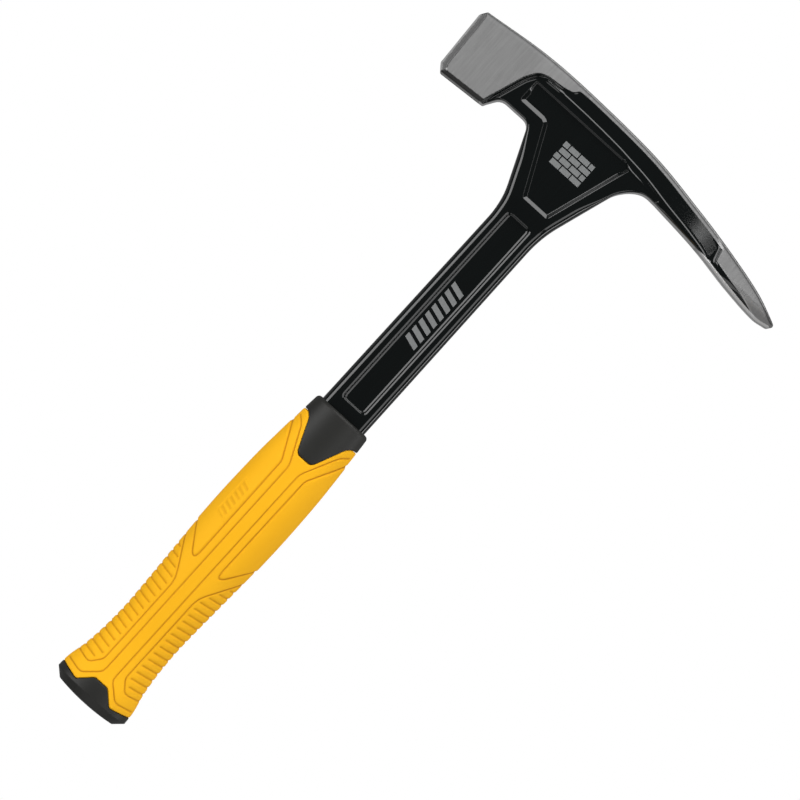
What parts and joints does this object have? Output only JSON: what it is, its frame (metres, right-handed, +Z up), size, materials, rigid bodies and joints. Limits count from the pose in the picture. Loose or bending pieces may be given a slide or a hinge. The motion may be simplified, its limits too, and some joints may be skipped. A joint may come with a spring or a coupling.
{
  "type": "brick hammer",
  "caption": "One-piece forged brick hammer with a square striking face, a long flared chisel, a fluted flat shaft and a soft ribbed oval grip.",
  "frame": {"origin": "bottom centre of the overall bounding box, the hammer lying on its side", "axes": "+X runs along the handle from the butt to the head, +Y towards the striking face (the chisel points to -Y), +Z up across the thickness"},
  "size_m": [0.325, 0.1746, 0.039],
  "materials": {
    "forged_steel": "gloss",
    "hard_plastic": "satin",
    "soft_cover": "matte"
  },
  "bodies": {
    "root": {"forging": "forged_steel", "grip_core": "hard_plastic", "butt_cap": "hard_plastic", "grip_cover": "soft_cover"}
  },
  "joints": []
}
